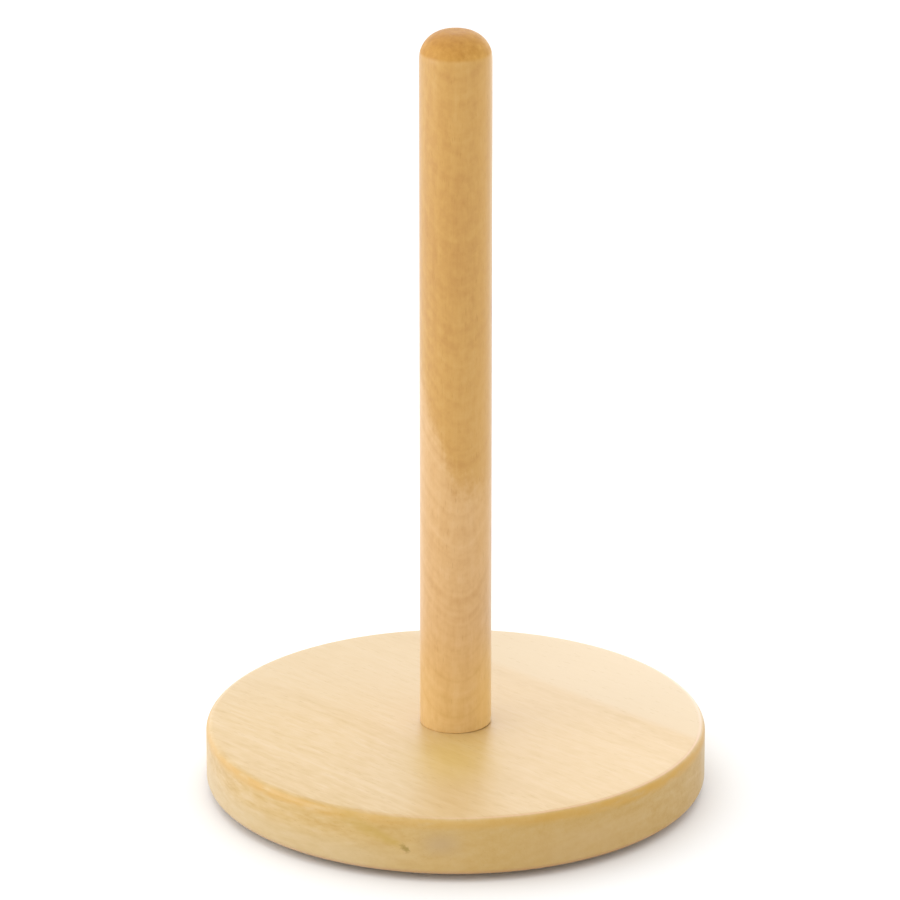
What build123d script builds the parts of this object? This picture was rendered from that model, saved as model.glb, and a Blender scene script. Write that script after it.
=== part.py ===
"""Free-standing paper towel holder: a round hardwood base and a dowel post.

Millimetres, +Z up. The origin is the centre of the base, on the surface that the
holder stands on. The front is towards -Y.

The post stands on the base with a plain butt joint. One machine screw comes up
through the base, from a counterbore in the underside, and pulls the post down by a
threaded insert in its end grain. Four rubber pads keep the base off the worktop.
"""

import math
import os

from build123d import *

# Base disc
BASE_DIAMETER = 178.0
BASE_THICKNESS = 21.4
BASE_EDGE_ROUND = 2.6

# Post: a one-inch dowel with a rounded upper end
POST_DIAMETER = 25.4
POST_LENGTH = 256.0
POST_CROWN_ROUND = 9.8
POST_FOOT_CHAMFER = 0.5

# Rubber pads under the base
PAD_COUNT = 4
PAD_DIAMETER = 12.7
PAD_HEIGHT = 2.5
PAD_CIRCLE_DIAMETER = 138.0
PAD_EDGE_ROUND = 0.8
PAD_FIRST_ANGLE = 45.0

# M6 button-head screw with a hexagon socket
SCREW_DIAMETER = 6.0
SCREW_LENGTH = 30.0
SCREW_TIP_CHAMFER = 0.8
HEAD_DIAMETER = 10.5
HEAD_HEIGHT = 3.3
HEAD_FACE_DIAMETER = 5.8
SOCKET_ACROSS_FLATS = 4.0
SOCKET_DEPTH = 2.1

# Washer under the screw's head
WASHER_BORE = 6.4
WASHER_DIAMETER = 12.0
WASHER_THICKNESS = 1.6
WASHER_EDGE_BREAK = 0.2

# Holes in the base for the screw
COUNTERBORE_DIAMETER = 14.5
COUNTERBORE_DEPTH = 9.0
COUNTERBORE_LIP = 0.4
CLEARANCE_HOLE = 6.6

# Threaded insert in the foot of the post
INSERT_DIAMETER = 10.0
INSERT_LENGTH = 20.0
INSERT_SETBACK = 0.5
INSERT_LEAD_IN = 0.6
INSERT_DRIVE_WIDTH = 1.4
INSERT_DRIVE_DEPTH = 1.8
INSERT_HOLE_EXTRA = 4.0
DRILL_POINT_ANGLE = 118.0

# Heights that follow from the sizes above
base_bottom = PAD_HEIGHT
base_top = base_bottom + BASE_THICKNESS
washer_top = base_bottom + COUNTERBORE_DEPTH
head_seat = washer_top - WASHER_THICKNESS
screw_tip = head_seat + SCREW_LENGTH
insert_bottom = base_top + INSERT_SETBACK


def make_base_disc():
    """A round board with rounded rims, bored through its centre from below."""
    with BuildPart() as base_disc:
        with BuildSketch(Plane.XY.offset(base_bottom)):
            Circle(BASE_DIAMETER / 2)
        extrude(amount=BASE_THICKNESS)
        fillet(base_disc.edges().filter_by(GeomType.CIRCLE), BASE_EDGE_ROUND)
        with Locations(Plane.XY.offset(base_bottom).rotated((180, 0, 0))):
            CounterBoreHole(CLEARANCE_HOLE / 2, COUNTERBORE_DIAMETER / 2, COUNTERBORE_DEPTH)
        mouth = base_disc.faces().sort_by(Axis.Z)[0].inner_wires()
        chamfer(mouth.edges(), COUNTERBORE_LIP)
    return base_disc.part


def make_post():
    """A straight dowel, rounded over at the top, drilled for the insert at the foot."""
    with BuildPart() as post:
        with BuildSketch(Plane.XY.offset(base_top)):
            Circle(POST_DIAMETER / 2)
        extrude(amount=POST_LENGTH)
        rims = post.edges().filter_by(GeomType.CIRCLE).sort_by(Axis.Z)
        fillet(rims[-1], POST_CROWN_ROUND)
        chamfer(rims[0], POST_FOOT_CHAMFER)

        hole_depth = INSERT_SETBACK + INSERT_LENGTH + INSERT_HOLE_EXTRA
        hole_radius = INSERT_DIAMETER / 2
        point_depth = hole_radius / math.tan(math.radians(DRILL_POINT_ANGLE / 2))
        with BuildSketch(Plane.XZ) as drill:
            with BuildLine():
                Polyline(
                    (0, base_top),
                    (hole_radius, base_top),
                    (hole_radius, base_top + hole_depth),
                    (0, base_top + hole_depth + point_depth),
                    close=True,
                )
            make_face()
        revolve(drill.sketch, axis=Axis.Z, mode=Mode.SUBTRACT)
    return post.part


def make_screw():
    """A button-head machine screw that points up, with a hexagon socket in its head."""
    crown_plane = Plane.XY.offset(head_seat - HEAD_HEIGHT)
    with BuildPart() as screw:
        with BuildSketch(Plane.XZ):
            with BuildLine():
                face_edge = (HEAD_FACE_DIAMETER / 2, head_seat - HEAD_HEIGHT)
                brim = (HEAD_DIAMETER / 2, head_seat)
                Line((0, face_edge[1]), face_edge)
                TangentArc(brim, face_edge, tangent=(0, -1))
                Polyline(
                    brim,
                    (SCREW_DIAMETER / 2, head_seat),
                    (SCREW_DIAMETER / 2, screw_tip - SCREW_TIP_CHAMFER),
                    (SCREW_DIAMETER / 2 - SCREW_TIP_CHAMFER, screw_tip),
                    (0, screw_tip),
                    (0, face_edge[1]),
                )
            make_face()
        revolve(axis=Axis.Z)
        with BuildSketch(crown_plane):
            RegularPolygon(SOCKET_ACROSS_FLATS / 2, 6, major_radius=False)
        extrude(amount=SOCKET_DEPTH, mode=Mode.SUBTRACT)
    return screw.part


def make_washer():
    """A flat washer between the screw's head and the floor of the counterbore."""
    with BuildPart() as washer:
        with BuildSketch(Plane.XY.offset(head_seat)):
            Circle(WASHER_DIAMETER / 2)
            Circle(WASHER_BORE / 2, mode=Mode.SUBTRACT)
        extrude(amount=WASHER_THICKNESS)
        outer_rims = washer.edges().filter_by(GeomType.CIRCLE).group_by(SortBy.RADIUS)[-1]
        chamfer(outer_rims, WASHER_EDGE_BREAK)
    return washer.part


def make_insert():
    """A sleeve with a machine thread inside, slotted at its lower end for a driver."""
    with BuildPart() as insert:
        with BuildSketch(Plane.XY.offset(insert_bottom)):
            Circle(INSERT_DIAMETER / 2)
            Circle(SCREW_DIAMETER / 2, mode=Mode.SUBTRACT)
        extrude(amount=INSERT_LENGTH)
        upper_rims = insert.edges().filter_by(GeomType.CIRCLE).group_by(Axis.Z)[-1]
        chamfer(upper_rims.sort_by(SortBy.RADIUS)[-1], INSERT_LEAD_IN)
        with BuildSketch(Plane.XY.offset(insert_bottom)):
            Rectangle(INSERT_DIAMETER, INSERT_DRIVE_WIDTH)
        extrude(amount=INSERT_DRIVE_DEPTH, mode=Mode.SUBTRACT)
    return insert.part


def make_pad(angle):
    """A round bumper pad on the pad circle, flat on both faces, rounded at the floor."""
    reach = PAD_CIRCLE_DIAMETER / 2
    centre = (reach * math.cos(math.radians(angle)), reach * math.sin(math.radians(angle)))
    with BuildPart() as pad:
        with BuildSketch():
            with Locations(centre):
                Circle(PAD_DIAMETER / 2)
        extrude(amount=PAD_HEIGHT)
        fillet(pad.edges().filter_by(GeomType.CIRCLE).sort_by(Axis.Z)[0], PAD_EDGE_ROUND)
    return pad.part


pieces = {
    "base_disc": make_base_disc(),
    "post": make_post(),
    "assembly_screw": make_screw(),
    "screw_washer": make_washer(),
    "threaded_insert": make_insert(),
}
for number in range(PAD_COUNT):
    pad_angle = PAD_FIRST_ANGLE + number * 360 / PAD_COUNT
    pieces[f"foot_pad_{number + 1}"] = make_pad(pad_angle)

os.makedirs("parts", exist_ok=True)
for name, piece in pieces.items():
    piece.label = name
    export_step(piece, f"parts/{name}.step")
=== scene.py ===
"""The looks of a free-standing paper towel holder: lacquered wood, steel, brass and rubber.

Metres, +Z up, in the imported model's own frame. The grain of the base runs from the back
left to the front right, and the grain of the post runs up it.
"""

import math

import bpy
import numpy as np
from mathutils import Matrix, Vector


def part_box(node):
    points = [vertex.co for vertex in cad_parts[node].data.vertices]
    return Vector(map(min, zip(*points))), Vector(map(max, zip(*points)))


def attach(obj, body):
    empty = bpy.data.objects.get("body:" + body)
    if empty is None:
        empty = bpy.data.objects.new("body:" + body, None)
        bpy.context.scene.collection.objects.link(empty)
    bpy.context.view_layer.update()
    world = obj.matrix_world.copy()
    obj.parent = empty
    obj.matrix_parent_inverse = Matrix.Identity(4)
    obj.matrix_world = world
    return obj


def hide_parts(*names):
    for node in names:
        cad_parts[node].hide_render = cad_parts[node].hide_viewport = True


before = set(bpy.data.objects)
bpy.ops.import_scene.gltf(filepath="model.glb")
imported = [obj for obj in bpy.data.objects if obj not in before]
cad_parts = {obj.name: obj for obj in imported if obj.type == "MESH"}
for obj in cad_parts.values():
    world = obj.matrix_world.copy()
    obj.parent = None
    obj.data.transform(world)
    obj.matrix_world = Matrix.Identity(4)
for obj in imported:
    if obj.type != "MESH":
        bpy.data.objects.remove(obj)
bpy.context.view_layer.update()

MM = 0.001

# Heights and radii that the frame gives
disc_low, disc_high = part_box("base_disc")
post_low, post_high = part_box("post")
screw_low, screw_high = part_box("assembly_screw")
washer_low, washer_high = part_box("screw_washer")
insert_low, insert_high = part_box("threaded_insert")
disc_radius = disc_high.x
post_radius = post_high.x

# Edges and holes of the wood
DISC_EDGE_ROUND = 2.6 * MM
CROWN_ROUND = 9.8 * MM
FOOT_ROUND = 0.25 * MM
FOOT_GAP = 0.3 * MM
COUNTERBORE_RADIUS = 7.25 * MM
COUNTERBORE_DEPTH = 9.0 * MM
COUNTERBORE_LIP = 0.4 * MM
CLEARANCE_RADIUS = 3.3 * MM
INSERT_HOLE_DEPTH = 24.5 * MM
DRILL_POINT_DEPTH = 3.0 * MM

# Screw, washer and insert
THREAD_PITCH = 1.0 * MM
THREAD_DEPTH = 0.61 * MM
SCREW_RADIUS = 3.0 * MM
HEAD_RADIUS = 5.25 * MM
HEAD_HEIGHT = 3.3 * MM
HEAD_FACE_RADIUS = 2.9 * MM
SOCKET_FLAT = 2.0 * MM
SOCKET_DEPTH = 2.1 * MM
OUTER_PITCH = 2.5 * MM
OUTER_DEPTH = 0.8 * MM


# ---------------------------------------------------------------------------
# Shapes
# ---------------------------------------------------------------------------

def softened(corners, rounds, step, closed=False):
    """An outline through the corners, each one rounded by an arc that is tangent to both
    of its sides, with points no more than one step apart along the straight runs.

    An arc of radius r starts r / tan(half the inner angle) before its corner, and its
    centre lies r / sin(half the inner angle) from the corner along the bisector.
    """
    corners = np.array(corners, float)
    count = len(corners)
    outline = []
    for i in range(count):
        here = corners[i]
        radius = rounds[i]
        if radius == 0 or (not closed and i in (0, count - 1)):
            outline.append(here[None, :])
            continue
        back = corners[i - 1] - here
        ahead = corners[(i + 1) % count] - here
        back /= np.linalg.norm(back)
        ahead /= np.linalg.norm(ahead)
        half = math.acos(np.clip(back @ ahead, -1, 1)) / 2
        bisector = (back + ahead) / np.linalg.norm(back + ahead)
        centre = here + bisector * radius / math.sin(half)
        start = here + back * radius / math.tan(half) - centre
        finish = here + ahead * radius / math.tan(half) - centre
        sweep = math.pi - 2 * half
        pieces = max(3, round(math.degrees(sweep) / 6))
        t = np.linspace(0, 1, pieces + 1)[:, None]
        arc = (start * np.sin((1 - t) * sweep) + finish * np.sin(t * sweep)) / math.sin(sweep)
        outline.append(centre + arc)
    rough = np.concatenate(outline)
    if closed:
        rough = np.concatenate([rough, rough[:1]])
    runs = []
    for a, b in zip(rough[:-1], rough[1:]):
        parts = max(1, math.ceil(np.linalg.norm(b - a) / step))
        t = np.linspace(0, 1, parts, endpoint=False)[:, None]
        runs.append(a + (b - a) * t)
    if not closed:
        runs.append(rough[-1:])
    return np.concatenate(runs)


def turned(name, outline, columns, closed=False, shape=None, centre=(0.0, 0.0)):
    """A turned solid: the point at (radius, height) of the outline goes to
    (radius cos a, radius sin a, height) at each of the evenly spaced angles a.

    shape, if given, takes the grids of radius, height and angle and returns the first
    two as altered, and so makes threads, hexagons and slots. An outline that isn't
    closed starts and ends on the axis, where each end shrinks to one vertex.
    """
    angle = np.linspace(0, 2 * math.pi, columns, endpoint=False)[None, :]
    radius = np.repeat(outline[:, :1], columns, axis=1)
    height = np.repeat(outline[:, 1:], columns, axis=1)
    angle = np.repeat(angle, len(outline), axis=0)
    if shape is not None:
        radius, height = shape(radius, height, angle)
    points = np.stack(
        [centre[0] + radius * np.cos(angle), centre[1] + radius * np.sin(angle), height], axis=-1
    )
    rows = np.arange(len(outline) * columns).reshape(len(outline), columns)
    if closed:
        rows = np.concatenate([rows, rows[:1]])
        points = points.reshape(-1, 3)
        caps = []
    else:
        inner = points[1:-1].reshape(-1, 3)
        points = np.concatenate([inner, points[0, :1], points[-1, :1]])
        rows = rows[: len(outline) - 2]
        first, last = len(inner), len(inner) + 1
        fore = np.stack([np.full(columns, first), rows[0], np.roll(rows[0], -1)], axis=-1)
        aft = np.stack([rows[-1], np.full(columns, last), np.roll(rows[-1], -1)], axis=-1)
        caps = fore.tolist() + aft.tolist()
    beside = np.roll(rows, -1, axis=1)
    quads = np.stack([rows[:-1], rows[1:], beside[1:], beside[:-1]], axis=-1).reshape(-1, 4)
    mesh = bpy.data.meshes.new(name)
    mesh.from_pydata(points.tolist(), [], quads.tolist() + caps)
    mesh.validate()
    mesh.shade_smooth()
    mesh.set_sharp_from_angle(angle=math.radians(38))
    piece = bpy.data.objects.new(name, mesh)
    bpy.context.scene.collection.objects.link(piece)
    return piece


def ripple(phase):
    """A thread's cross-section over one pitch: 0 at the crest, 1 at the root, with
    straight flanks and a short flat at each."""
    wave = 1 - np.abs(2 * (phase - np.floor(phase)) - 1)
    return np.clip((1 - wave) * 1.3 - 0.15, 0, 1)


def fit(piece, node):
    """Puts a new piece in a CAD node's place, on the one rigid body."""
    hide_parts(node)
    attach(piece, "root")
    return piece


# ---------------------------------------------------------------------------
# Finishes
# ---------------------------------------------------------------------------

class Wire:
    """A number that varies from place to place. Arithmetic on it adds the Math nodes."""

    def __init__(self, graph, socket):
        self.graph = graph
        self.socket = socket

    def join(self, operation, *others):
        values = dict(enumerate([self, *others]))
        return self.graph.node("ShaderNodeMath", {"operation": operation}, values).wire(0)

    def __add__(self, other):
        return self.join("ADD", other)

    __radd__ = __add__

    def __mul__(self, other):
        return self.join("MULTIPLY", other)

    __rmul__ = __mul__

    def __sub__(self, other):
        return self.join("SUBTRACT", other)

    def __rsub__(self, other):
        return (self * -1.0).join("ADD", other)

    def __truediv__(self, other):
        return self.join("DIVIDE", other)

    def __pow__(self, other):
        return self.join("POWER", other)

    def __abs__(self):
        return self.join("ABSOLUTE")

    def root(self):
        return self.join("SQRT")

    def step(self, low, high):
        """0 at low and 1 at high, with a smooth rise between them and level beyond. With
        low above high it falls instead."""
        settings = {"interpolation_type": "SMOOTHSTEP"}
        sockets = {"Value": self, "From Min": low, "From Max": high}
        return self.graph.node("ShaderNodeMapRange", settings, sockets).wire(0)

    def near(self, middle, reach):
        """1 at the middle, falling smoothly to 0 at the reach on either side."""
        return abs(self - middle).step(reach, 0.0)


class Placed:
    """A node that has been added, and the wires that come out of it."""

    def __init__(self, graph, node):
        self.graph = graph
        self.node = node

    def wire(self, output):
        return Wire(self.graph, self.node.outputs[output])


class Graph:
    """A node tree under way. node() adds every node there is."""

    def __init__(self, tree):
        self.tree = tree
        self.tree.nodes.clear()

    def node(self, kind, settings=None, sockets=None):
        """Adds a node of that kind, makes its settings, then fills its sockets."""
        node = self.tree.nodes.new(kind)
        for key, value in (settings or {}).items():
            if key == "stops":
                self.set_stops(node.color_ramp, value)
            else:
                setattr(node, key, value)
        self.fill(node, sockets or {})
        return Placed(self, node)

    def fill(self, node, sockets):
        """Links each socket to its wire, or sets it to its number."""
        for key, value in sockets.items():
            if isinstance(value, Wire):
                self.tree.links.new(value.socket, node.inputs[key])
            else:
                node.inputs[key].default_value = value

    def set_stops(self, ramp, stops):
        """Gives a colour ramp its stops, each a place from 0 to 1 and a colour."""
        while len(ramp.elements) < len(stops):
            ramp.elements.new(0.5)
        for element, (place, colour) in zip(ramp.elements, stops):
            element.position = place
            element.color = (*colour, 1)

    def vector(self, operation, first, second):
        node = self.node("ShaderNodeVectorMath", {"operation": operation}, {0: first, 1: second})
        return node.wire("Value" if operation == "DISTANCE" else "Vector")

    def stretch(self, vector, *amounts):
        return self.vector("MULTIPLY", vector, amounts)

    def axes(self, vector):
        split = self.node("ShaderNodeSeparateXYZ", {}, {"Vector": vector})
        return split.wire("X"), split.wire("Y"), split.wire("Z")

    def gather(self, x, y, z):
        return self.node("ShaderNodeCombineXYZ", {}, {"X": x, "Y": y, "Z": z}).wire("Vector")

    def noise(self, vector, detail=2.0, rough=0.5):
        sockets = {"Vector": vector, "Scale": 1.0, "Detail": detail, "Roughness": rough}
        return self.node("ShaderNodeTexNoise", {"noise_dimensions": "3D"}, sockets).wire(0)

    def bands(self, value, detail=2.0, rough=0.5):
        """Noise along one line only."""
        sockets = {"W": value, "Scale": 1.0, "Detail": detail, "Roughness": rough}
        return self.node("ShaderNodeTexNoise", {"noise_dimensions": "1D"}, sockets).wire(0)

    def dots(self, vector):
        """Distance to the nearest of a scatter of points, one in each unit cell."""
        settings = {"feature": "F1"}
        return self.node("ShaderNodeTexVoronoi", settings, {"Vector": vector, "Scale": 1.0}).wire(0)

    def mix(self, amount, first, second):
        settings = {"data_type": "RGBA"}
        return self.node("ShaderNodeMix", settings, {0: amount, 6: first, 7: second}).wire(2)


class Finish(Graph):
    """A material under way, with its shader and its output in place."""

    def __init__(self, name):
        self.material = bpy.data.materials.new(name)
        self.material.use_nodes = True
        super().__init__(self.material.node_tree)
        self.shader = self.node("ShaderNodeBsdfPrincipled")
        self.node("ShaderNodeOutputMaterial", {}, {"Surface": self.shader.wire("BSDF")})

    def set(self, **sockets):
        """Sets or links the shader's own sockets; an underscore stands for a space."""
        named = {key.replace("_", " "): value for key, value in sockets.items()}
        self.fill(self.shader.node, named)

    def place(self, turn=(0, 0, 0)):
        """Object coordinates in millimetres, turned."""
        source = self.node("ShaderNodeTexCoord").wire("Object")
        scale = (1 / MM, 1 / MM, 1 / MM)
        sockets = {"Vector": source, "Rotation": turn, "Scale": scale}
        return self.node("ShaderNodeMapping", {"vector_type": "POINT"}, sockets).wire("Vector")

    def normals(self, turn=(0, 0, 0)):
        """The three parts of the surface's direction, turned."""
        source = self.node("ShaderNodeTexCoord").wire("Normal")
        sockets = {"Vector": source, "Rotation": turn}
        return self.axes(self.node("ShaderNodeMapping", {"vector_type": "NORMAL"}, sockets).wire(0))

    def bump(self, height, distance, strength):
        sockets = {"Height": height, "Distance": distance, "Strength": strength}
        return self.node("ShaderNodeBump", {}, sockets).wire("Normal")

    def paint(self, piece):
        piece.data.materials.clear()
        piece.data.materials.append(self.material)


def rgb(red, green, blue):
    return (red, green, blue, 1.0)


class Wood(Finish):
    """Pale close-grained hardwood under clear satin lacquer.

    turn brings the grain onto X. heart is the place of the tree's centre across the
    grain, in millimetres, so the growth rings are cylinders round it.
    """

    def __init__(self, name, turn, heart, ring_width):
        super().__init__(name)
        grain = self.place(turn)

        # Slow wander of the fibres
        wander = self.noise(self.stretch(grain, 0.011, 0.03, 0.03), detail=1.0)
        self.along, across, self.through = self.axes(grain)
        self.across = across + (wander - 0.5) * 9.0
        reach = ((self.across - heart[0]) ** 2 + (self.through - heart[1]) ** 2).root()

        # Growth rings: irregular soft bands
        self.rings = self.bands(reach / ring_width, detail=1.5, rough=0.6) - 0.5

        # Fibre: long thin streaks, short flecks, wide streaks and slow clouds
        wavy = self.gather(self.along, self.across, self.through)
        self.fine = self.noise(self.stretch(wavy, 0.085, 1.15, 1.15), detail=3.0, rough=0.6) - 0.5
        self.fleck = self.noise(self.stretch(wavy, 0.13, 0.42, 0.42), detail=2.0) - 0.5
        self.coarse = self.noise(self.stretch(wavy, 0.018, 0.26, 0.26)) - 0.5
        self.broad = self.noise(self.stretch(grain, 0.007, 0.021, 0.021), detail=1.0) - 0.5

        # Pores: short dark dashes along the grain, dots across it
        dash = self.dots(self.stretch(wavy, 0.16, 1.5, 1.5)).step(0.26, 0.12)
        crowding = self.noise(self.stretch(wavy, 0.05, 0.4, 0.4), detail=1.0)
        self.pore = dash * crowding.step(0.42, 0.6)

        # How squarely the surface cuts the fibres, from 0 along them to 1 across them
        self.end_grain = abs(self.normals(turn)[0]).step(0.25, 1.0)
        self.upwards = self.normals()[2]

    def tint(self, shade, light, middle, dark):
        """A colour for each shade from 0 to 1."""
        stops = [(0.0, light), (0.5, middle), (1.0, dark)]
        return self.node("ShaderNodeValToRGB", {"stops": stops}, {"Fac": shade}).wire("Color")

    def lacquer(self, colour, thickness):
        """Sets the colour, under a coat that sinks into the pores."""
        self.set(
            Base_Color=colour,
            Roughness=0.52 + self.fine * 0.16,
            Coat_Weight=thickness - self.pore * 0.3,
            Normal=self.bump(self.fine * 0.6 - self.pore, 0.00005, 0.35),
            Coat_Roughness=0.37,
            Coat_IOR=1.5,
            Specular_IOR_Level=0.3,
        )


def disc_wood():
    """The base: one wide board, mostly heartwood, with pale sapwood at the back right."""
    turn = (0, 0, math.radians(45))
    wood = Wood("disc_wood", turn, (14.0, -160.0), 2.6)
    x, y, z = wood.axes(wood.place())
    over = wood.across * 0.25 + wood.axes(wood.place(turn))[1] * 0.75

    # edge is 0 on the top and 1 on the rim and below; sides is 1 at the far left and right
    edge = wood.upwards.step(0.95, 0.5)
    sides = abs(x / 89.0).step(0.15, 0.9)
    patchy = wood.noise(wood.stretch(wood.place(), 0.1, 0.1, 0.4)) - 0.5

    # The sapwood is paler and calmer, with a dark band before it
    sapwood = over.step(45.5, 51.5)
    grained = 1.0 - sapwood * 0.5 + over.step(10.0, -60.0) * 0.5 + edge * (sides * 1.3 - 0.5)
    streaks = (
        over.near(43.5, 7.0) * 0.26
        + over.near(-37.0, 4.5) * 0.16
        + over.near(-78.0, 10.0) * 0.16
        - over.near(-32.0, 2.5) * 0.12
        - over.near(-63.0, 3.0) * 0.16
        - over.near(22.0, 3.0) * 0.10
    )
    shade = (
        0.5
        + grained * (wood.fine * 0.4 + wood.fleck * 0.55 + wood.coarse * 0.32 + wood.rings * 0.3)
        + wood.broad * 0.35
        + streaks * (0.8 + wood.fleck)
        + edge * patchy * (0.45 + sides * 0.8)
    )
    colour = wood.tint(shade, (0.585, 0.415, 0.195), (0.54, 0.355, 0.12), (0.47, 0.28, 0.055))
    colour = wood.mix(sapwood * 0.6, colour, rgb(0.54, 0.41, 0.215))

    # The top is painted paler and greyer towards the back and the front, a painted sheen of the
    # lacquer, and yellower in between, in front of the post, a painted reflection of the post
    painted_sheen = y.step(-10.0, 50.0) * 0.3 + x.near(-2.0, 45.0) * y.step(-25.0, -65.0) * 0.25
    colour = wood.mix(painted_sheen * (1.0 - edge), colour, rgb(0.56, 0.43, 0.26))
    # In front of the post's foot: a painted reflection of the post in the lacquer
    painted_post_reflection = x.near(-2.0, 24.0) * y.near(-36.0, 34.0) * (1.0 - edge)
    colour = wood.mix(painted_post_reflection * 0.35, colour, rgb(0.60, 0.445, 0.115))
    colour = wood.mix(wood.pore * 0.3, colour, rgb(0.34, 0.19, 0.055))
    colour = wood.mix(wood.end_grain * 0.5, colour, rgb(0.44, 0.275, 0.085))

    # The sanded shoulder is richer, above all at the sides, and its upper edge carries a pale
    # painted highlight
    shoulder = z.step(18.8, 21.6) * wood.upwards.step(0.9, 0.65) * (0.4 + sides * 0.35)
    shoulder = shoulder * patchy.step(-0.4, 0.05)
    colour = wood.mix(shoulder, colour, rgb(0.55, 0.305, 0.045))
    painted_edge_highlight = wood.upwards.near(0.92, 0.1) * x.step(-60.0, 40.0) * 0.5
    colour = wood.mix(painted_edge_highlight, colour, rgb(0.74, 0.45, 0.30))

    # Lower down, the edge is paler at the left, greyer at the right, and redder where it
    # turns under
    low = z.step(17.0, 8.0) * edge * x.step(0.0, -45.0)
    colour = wood.mix(low * 0.55, colour, rgb(0.54, 0.41, 0.22))
    greyed = edge * x.near(44.0, 34.0) * z.step(20.0, 13.0) * (0.8 + patchy * 2.0)
    colour = wood.mix(greyed * 0.42, colour, rgb(0.54, 0.375, 0.18))
    foot = wood.upwards.near(-0.7, 0.6)
    colour = wood.mix(foot * 0.5, colour, rgb(0.50, 0.25, 0.11))

    # A pin knot low on the front left of the edge, with a stain that runs up to the left
    # and a paler patch to its right
    left = (x + 18.0) * -1.0
    front = y.step(-60.0, -70.0)
    slope = abs(z - left * 0.42 - 12.8) / (left * 0.16 + 2.2)
    stain = slope.step(1.0, 0.1) * left.step(-1.5, 3.0) * left.step(28.0, 12.0) * front
    colour = wood.mix(stain * (wood.fleck + 0.8) * 0.75, colour, rgb(0.46, 0.29, 0.04))
    pale = left.near(-13.0, 11.0) * z.near(14.5, 7.0) * front
    colour = wood.mix(pale * 0.7, colour, rgb(0.43, 0.29, 0.135))
    lengthways = (x + 17.6) * 0.75 - (z - 12.4) * 0.66
    crossways = (x + 17.6) * 0.66 + (z - 12.4) * 0.75
    knot = ((lengthways / 2.5) ** 2 + (crossways / 1.4) ** 2).root() + wood.fine * 2.0
    colour = wood.mix(knot.step(1.05, 0.25) * front * 0.75, colour, rgb(0.26, 0.165, 0.01))

    # End grain drinks the lacquer, so that less of it shines
    wood.lacquer(colour, 1.0 - wood.end_grain * 0.8)
    return wood


def post_wood():
    """The post: a dowel cut so that its rings come out at the front in soft arcs."""
    wood = Wood("post_wood", (0, math.radians(90), 0), (150.0, 8.0), 3.2)
    place = wood.place()
    x, y, height = wood.axes(place)

    # The rings lean against the post's axis, so that they show as arcs
    leaning = wood.across - height * 0.62 + wood.broad * 9.0
    arcs = wood.bands(leaning / 3.1, detail=2.0, rough=0.6) - 0.5
    mottle = wood.noise(wood.stretch(place, 0.42, 0.42, 0.3), detail=3.0, rough=0.6) - 0.5
    shade = (
        0.5
        + wood.fine * 0.35
        + wood.fleck * 0.3
        + wood.coarse * 0.45
        + wood.broad * 0.45
        + wood.rings * 0.2
        + arcs * 0.45
        + mottle * 0.7
    )
    colour = wood.tint(shade, (0.565, 0.325, 0.083), (0.515, 0.272, 0.047), (0.43, 0.195, 0.023))

    # Paler, pinker sapwood below a boundary that hangs down in the middle
    boundary = (x - 8.0) ** 2 * 0.1 + 114.0
    above = height - boundary + wood.coarse * 18.0 + mottle * 12.0
    sapwood = above.step(9.0, -9.0)
    clearer = shade + arcs * 0.2
    pale = wood.tint(clearer, (0.65, 0.41, 0.185), (0.59, 0.345, 0.125), (0.50, 0.265, 0.07))
    colour = wood.mix(sapwood, colour, pale)
    # Paler still towards the foot: painted light bouncing up from the base
    painted_bounce_light = wood.tint(clearer, (0.75, 0.50, 0.23), (0.69, 0.435, 0.16), (0.60, 0.345, 0.095))
    colour = wood.mix(height.step(70.0, 26.0), colour, painted_bounce_light)

    # The right-hand edge is painted a lighter orange, painted light wrapping round that side, and
    # paler at the foot, painted light bouncing up from the base
    painted_right_edge_light = x.step(5.0, 12.0) * height.step(60.0, 100.0)
    colour = wood.mix(painted_right_edge_light * 0.4, colour, rgb(0.62, 0.32, 0.035))
    painted_foot_light = x.step(4.0, 12.0) * height.step(70.0, 30.0)
    colour = wood.mix(painted_foot_light * 0.5, colour, rgb(0.86, 0.56, 0.17))
    colour = wood.mix(wood.pore * 0.22, colour, rgb(0.33, 0.16, 0.035))

    # Two small reddish scars on the right-hand side
    slim = wood.stretch(place, 0.45, 0.45, 0.13)
    upper = wood.vector("DISTANCE", slim, (5.6, -0.9, 23.4)).step(1.0, 0.2)
    lower = wood.vector("DISTANCE", slim, (5.6, -0.7, 12.3)).step(1.0, 0.2)
    scarred = (upper + lower) * mottle.step(-0.3, -0.05)
    colour = wood.mix(scarred * 0.7, colour, rgb(0.42, 0.15, 0.02))

    # End grain on the crown drinks the lacquer, so it is richer and duller, and its right side is
    # painted paler, as painted light on that side
    crown = wood.upwards.step(0.17, 0.33)
    richness_and_painted_light = 0.3 + wood.upwards * 0.5 - x.step(1.0, 11.0) * 0.35 + mottle * 1.3
    crown_tint_and_painted_light = wood.tint(richness_and_painted_light, (0.58, 0.31, 0.065), (0.47, 0.225, 0.036), (0.37, 0.155, 0.02))
    colour = wood.mix(crown * 0.8, colour, crown_tint_and_painted_light)
    wood.lacquer(colour, 1.0 - crown * 0.95)
    return wood


def plated_steel():
    """Bright zinc plate: faintly blue, mottled, brushed round by the tumbler."""
    steel = Finish("plated_steel")
    place = steel.place()
    cloud = steel.noise(steel.stretch(place, 0.6, 0.6, 0.6), detail=3.0)
    scratch = steel.noise(steel.stretch(place, 6.0, 6.0, 1.2), detail=4.0, rough=0.7)
    colour = steel.mix(cloud.step(0.35, 0.7), rgb(0.60, 0.62, 0.65), rgb(0.74, 0.74, 0.72))
    steel.set(
        Base_Color=colour,
        Metallic=1.0,
        Roughness=0.24 + scratch * 0.22,
        Normal=steel.bump(scratch, 0.00002, 0.3),
    )
    return steel


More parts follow.
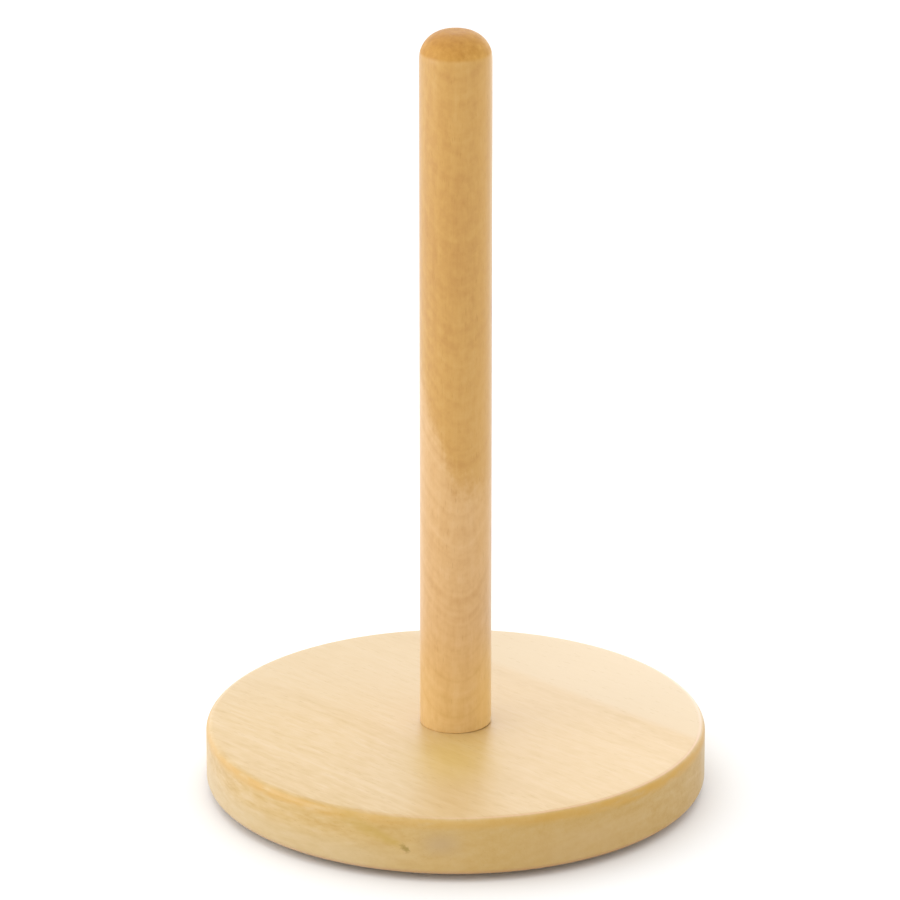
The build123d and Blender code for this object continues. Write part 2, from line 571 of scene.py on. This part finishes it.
def turned_brass():
    """Brass straight from the lathe, with fine rings round it and a little tarnish."""
    brass = Finish("turned_brass")
    place = brass.place()
    rings = brass.noise(brass.stretch(place, 0.15, 0.15, 9.0), detail=3.0)
    tarnish = brass.noise(brass.stretch(place, 0.3, 0.3, 0.3), detail=3.0).step(0.45, 0.75)
    colour = brass.mix(tarnish * 0.5, rgb(0.80, 0.60, 0.26), rgb(0.50, 0.34, 0.14))
    brass.set(
        Base_Color=colour,
        Metallic=1.0,
        Roughness=0.26 + rings * 0.2 + tarnish * 0.15,
        Normal=brass.bump(rings, 0.00002, 0.3),
    )
    return brass


def pad_rubber():
    """Soft off-white rubber, finely pitted, greyed where it touches the worktop."""
    rubber = Finish("pad_rubber")
    place = rubber.place()
    contact = rubber.axes(place)[2].step(0.5, 0.0)
    grime = rubber.noise(rubber.stretch(place, 0.5, 0.5, 0.5), detail=4.0, rough=0.6)
    colour = rubber.mix(grime.step(0.4, 0.75) * 0.5, rgb(0.66, 0.65, 0.61), rgb(0.50, 0.48, 0.44))
    colour = rubber.mix(contact * (0.25 + grime * 0.4), colour, rgb(0.33, 0.31, 0.28))
    pits = rubber.noise(rubber.stretch(place, 4.0, 4.0, 4.0), detail=3.0, rough=0.6)
    rubber.set(
        Base_Color=colour,
        Roughness=0.55 + grime * 0.2,
        Normal=rubber.bump(pits, 0.00005, 0.5),
        Subsurface_Weight=0.15,
        Subsurface_Radius=(0.002, 0.0018, 0.0015),
        Subsurface_Scale=0.5,
    )
    return rubber


def floor_paper():
    """The seamless white paper that the holder stands on."""
    paper = Finish("floor_paper")
    tooth = paper.noise(paper.stretch(paper.place(), 0.02, 0.02, 0.02), detail=3.0)
    paper.set(
        Base_Color=paper.mix(tooth, rgb(0.87, 0.87, 0.87), rgb(0.90, 0.90, 0.90)),
        Roughness=0.9,
        Specular_IOR_Level=0.1,
    )
    return paper


# ---------------------------------------------------------------------------
# Pieces
# ---------------------------------------------------------------------------

def make_disc():
    """The base board: flat faces, rounded rims, and the screw's stepped hole."""
    corners = [
        (CLEARANCE_RADIUS, disc_high.z),
        (disc_radius, disc_high.z),
        (disc_radius, disc_low.z),
        (COUNTERBORE_RADIUS, disc_low.z),
        (COUNTERBORE_RADIUS, disc_low.z + COUNTERBORE_DEPTH),
        (CLEARANCE_RADIUS, disc_low.z + COUNTERBORE_DEPTH),
    ]
    rounds = [0, DISC_EDGE_ROUND, DISC_EDGE_ROUND, COUNTERBORE_LIP, 0.15 * MM, 0]
    outline = softened(corners, rounds, 3.0 * MM, closed=True)
    disc = turned("base_board", outline, 384, closed=True)
    return fit(disc, "base_disc")


def make_post():
    """The dowel, rounded over at the top. Its foot bears on the base at the left, and was
    sanded away towards the right, where it stands off by the foot gap."""
    corners = [
        (0, post_high.z),
        (post_radius, post_high.z),
        (post_radius, post_low.z),
        (insert_high.x, post_low.z),
        (insert_high.x, post_low.z + INSERT_HOLE_DEPTH),
        (0, post_low.z + INSERT_HOLE_DEPTH + DRILL_POINT_DEPTH),
    ]
    rounds = [0, CROWN_ROUND, FOOT_ROUND, 0.2 * MM, 0, 0]
    outline = softened(corners, rounds, 2.5 * MM)

    def out_of_square(radius, height, angle):
        """Lifts the foot by the gap times the cube of how far right it is, from 0 to 1,
        fading out 6 mm up."""
        near = np.clip(1 - (height - post_low.z) / (6 * MM), 0, 1)
        lift = FOOT_GAP * ((radius * np.cos(angle) / post_radius + 1) / 2) ** 3
        return radius, height + lift * near

    post = turned("dowel_post", outline, 192, shape=out_of_square)
    return fit(post, "post")


def make_screw():
    """A button-head machine screw, point up, with a real helical thread and a hexagon
    socket in its head."""
    seat = screw_low.z + HEAD_HEIGHT
    shank = (SCREW_RADIUS, seat)
    dome = [
        (HEAD_RADIUS, seat),
        (HEAD_RADIUS, seat - 0.5 * MM),
        (4.7 * MM, seat - 1.9 * MM),
        (3.8 * MM, seat - 2.9 * MM),
        (HEAD_FACE_RADIUS, screw_low.z),
        (SOCKET_FLAT, screw_low.z),
        (SOCKET_FLAT, screw_low.z + SOCKET_DEPTH),
        (0, screw_low.z + SOCKET_DEPTH + 0.5 * MM),
    ]
    corners = [(0, screw_high.z), (SCREW_RADIUS, screw_high.z), shank] + dome
    shank_rounds = [0, 0.8 * MM, 0.3 * MM]
    dome_rounds = [0.2 * MM, 0.8 * MM, 1.2 * MM, 0.8 * MM, 0.3 * MM, 0.1 * MM, 0, 0]
    outline = softened(corners, shank_rounds + dome_rounds, 0.09 * MM)

    def threaded_and_socketed(radius, height, angle):
        """Cuts the shank by the thread's depth times the ripple of (height / pitch - angle
        / full turn), and pulls the socket's wall out to a hexagon, whose distance from
        the centre is its half width over the cosine of the angle from the nearest flat."""
        turns = height / THREAD_PITCH - angle / (2 * math.pi)
        on_shank = (radius > 2.0 * MM) & (radius < 3.05 * MM) & (height > seat + 1.0 * MM)
        fade = np.clip((height - seat - 1.0 * MM) / (2 * MM), 0, 1)
        radius = np.where(on_shank, radius - THREAD_DEPTH * ripple(turns) * fade, radius)
        from_flat = (angle + math.pi / 6) % (math.pi / 3) - math.pi / 6
        in_socket = (radius < 2.35 * MM) & (height < seat)
        hexagon = np.where(in_socket, 1 / np.cos(from_flat), 1)
        return radius * hexagon, height

    screw = turned("button_screw", outline, 96, shape=threaded_and_socketed)
    return fit(screw, "assembly_screw")


def make_washer():
    """A stamped washer: one rim rolled over by the punch, the other left crisp."""
    corners = [
        (3.2 * MM, washer_high.z),
        (washer_high.x, washer_high.z),
        (washer_high.x, washer_low.z),
        (3.2 * MM, washer_low.z),
    ]
    outline = softened(corners, [0.1 * MM, 0.15 * MM, 0.45 * MM, 0.3 * MM], 0.6 * MM, closed=True)
    washer = turned("steel_washer", outline, 96, closed=True)
    return fit(washer, "screw_washer")


def make_insert():
    """A brass sleeve with a coarse wood thread outside and the screw's thread inside."""
    corners = [
        (SCREW_RADIUS, insert_high.z),
        (insert_high.x, insert_high.z),
        (insert_high.x, insert_low.z),
        (SCREW_RADIUS, insert_low.z),
    ]
    outline = softened(corners, [0.3 * MM, 0.6 * MM, 0.3 * MM, 0.3 * MM], 0.1 * MM, closed=True)

    def threaded(radius, height, angle):
        """Cuts the outside by a coarse ripple and opens the bore by a fine one."""
        outer = OUTER_DEPTH * ripple(height / OUTER_PITCH - angle / (2 * math.pi))
        inner = THREAD_DEPTH * ripple(height / THREAD_PITCH - angle / (2 * math.pi))
        away = np.minimum(insert_high.z - height, height - insert_low.z)
        fade = np.clip((away - 0.6 * MM) / (1 * MM), 0, 1)
        radius = np.where(radius > 4.9 * MM, radius - outer * fade, radius)
        return np.where(radius < 3.01 * MM, radius - inner * fade, radius), height

    insert = turned("brass_insert", outline, 96, closed=True, shape=threaded)
    return fit(insert, "threaded_insert")


def make_pad(node):
    """A moulded bumper: slightly tapered, with a shallow dimple in the face below."""
    low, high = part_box(node)
    centre = (low + high) / 2
    radius = (high.x - low.x) / 2
    corners = [
        (0, high.z),
        (radius, high.z),
        (radius, high.z - 0.4 * MM),
        (radius - 0.6 * MM, low.z),
        (2.6 * MM, low.z),
        (1.9 * MM, low.z + 0.25 * MM),
        (0, low.z + 0.3 * MM),
    ]
    rounds = [0, 0.1 * MM, 0.2 * MM, 0.7 * MM, 0.5 * MM, 0.5 * MM, 0]
    outline = softened(corners, rounds, 0.5 * MM)
    pad = turned("bumper_" + node[-1], outline, 72, centre=(centre.x, centre.y))
    return fit(pad, node)


disc_wood().paint(make_disc())
post_wood().paint(make_post())
steel = plated_steel()
steel.paint(make_screw())
steel.paint(make_washer())
turned_brass().paint(make_insert())
rubber = pad_rubber()
for node in sorted(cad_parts):
    if node.startswith("foot_pad"):
        rubber.paint(make_pad(node))


# ---------------------------------------------------------------------------
# Stage, light and camera
# ---------------------------------------------------------------------------

FLOOR_REACH = 9.0
FLOOR_THICKNESS = 0.05
CAMERA_ELEVATION = math.radians(20.25)
CAMERA_DISTANCE = 2.276
CAMERA_LENS = 259.0
AIM = (-0.0020, 0.0, 0.1266)
FRONT_LIGHT = 1.42
BACK_LIGHT = 2.15
BACK_STARTS = 0.2
SIDE_LIGHT = 1.0
SIDE_FALL = 0.16
BACKDROP_LIGHT = 1.3


def make_floor():
    """A round white floor: a thin flat disc, its upper face at height 0."""
    rim = [(FLOOR_REACH, 0.0), (FLOOR_REACH, -FLOOR_THICKNESS)]
    outline = np.array([(0.0, 0.0), (1.5, 0.0), *rim, (0.0, -FLOOR_THICKNESS)])
    floor = turned("studio_floor", outline, 96)
    floor_paper().paint(floor)


def point_at(thing, place, aim):
    """Puts a light or the camera at a place, looking at the aim, with its top upwards."""
    thing.location = place
    thing.rotation_euler = (Vector(aim) - Vector(place)).to_track_quat("-Z", "Y").to_euler()
    bpy.context.scene.collection.objects.link(thing)


def make_softbox(name, place, aim, width, height, power):
    """A rectangular area light that faces the aim."""
    light = bpy.data.lights.new(name, "AREA")
    light.shape = "RECTANGLE"
    light.size = width
    light.size_y = height
    light.energy = power
    softbox = bpy.data.objects.new(name, light)
    softbox.visible_camera = False
    point_at(softbox, place, aim)


def make_surroundings():
    """White walls: brightest low down behind the holder, and dimmer to its right."""
    world = bpy.data.worlds.new("white_studio")
    bpy.context.scene.world = world
    world.use_nodes = True
    walls = Graph(world.node_tree)
    right, away, up = walls.axes(walls.node("ShaderNodeTexCoord").wire("Generated"))
    behind = away.step(BACK_STARTS, 1.0) * (BACK_LIGHT - FRONT_LIGHT) + FRONT_LIGHT
    glow = behind * (SIDE_LIGHT - right * SIDE_FALL)
    from_camera = walls.node("ShaderNodeLightPath").wire("Is Camera Ray")
    strength = glow + from_camera * (BACKDROP_LIGHT - glow)
    sky = walls.node("ShaderNodeBackground", {}, {"Strength": strength})
    walls.node("ShaderNodeOutputWorld", {}, {"Surface": sky.wire("Background")})


def make_camera():
    lens = bpy.data.cameras.new("camera")
    lens.lens = CAMERA_LENS
    lens.sensor_width = 36.0
    lens.clip_start = 0.1
    lens.clip_end = 50.0
    camera = bpy.data.objects.new("camera", lens)
    back = CAMERA_DISTANCE * math.cos(CAMERA_ELEVATION)
    rise = CAMERA_DISTANCE * math.sin(CAMERA_ELEVATION)
    point_at(camera, (AIM[0], AIM[1] - back, AIM[2] + rise), AIM)
    bpy.context.scene.camera = camera


make_floor()
make_surroundings()
make_softbox("left_box", (-1.3, -0.2, 0.5), (0, 0, 0.12), 0.9, 0.9, 4.5)
make_softbox("back_box", (0.3, 0.66, 0.27), (0.25, 0, 0.1), 0.5, 0.5, 0.6)
make_softbox("top_box", (-0.1, 0.0, 1.3), (0, 0, 0), 1.0, 1.0, 1.3)
make_camera()
bpy.context.scene.view_settings.view_transform = "Standard"
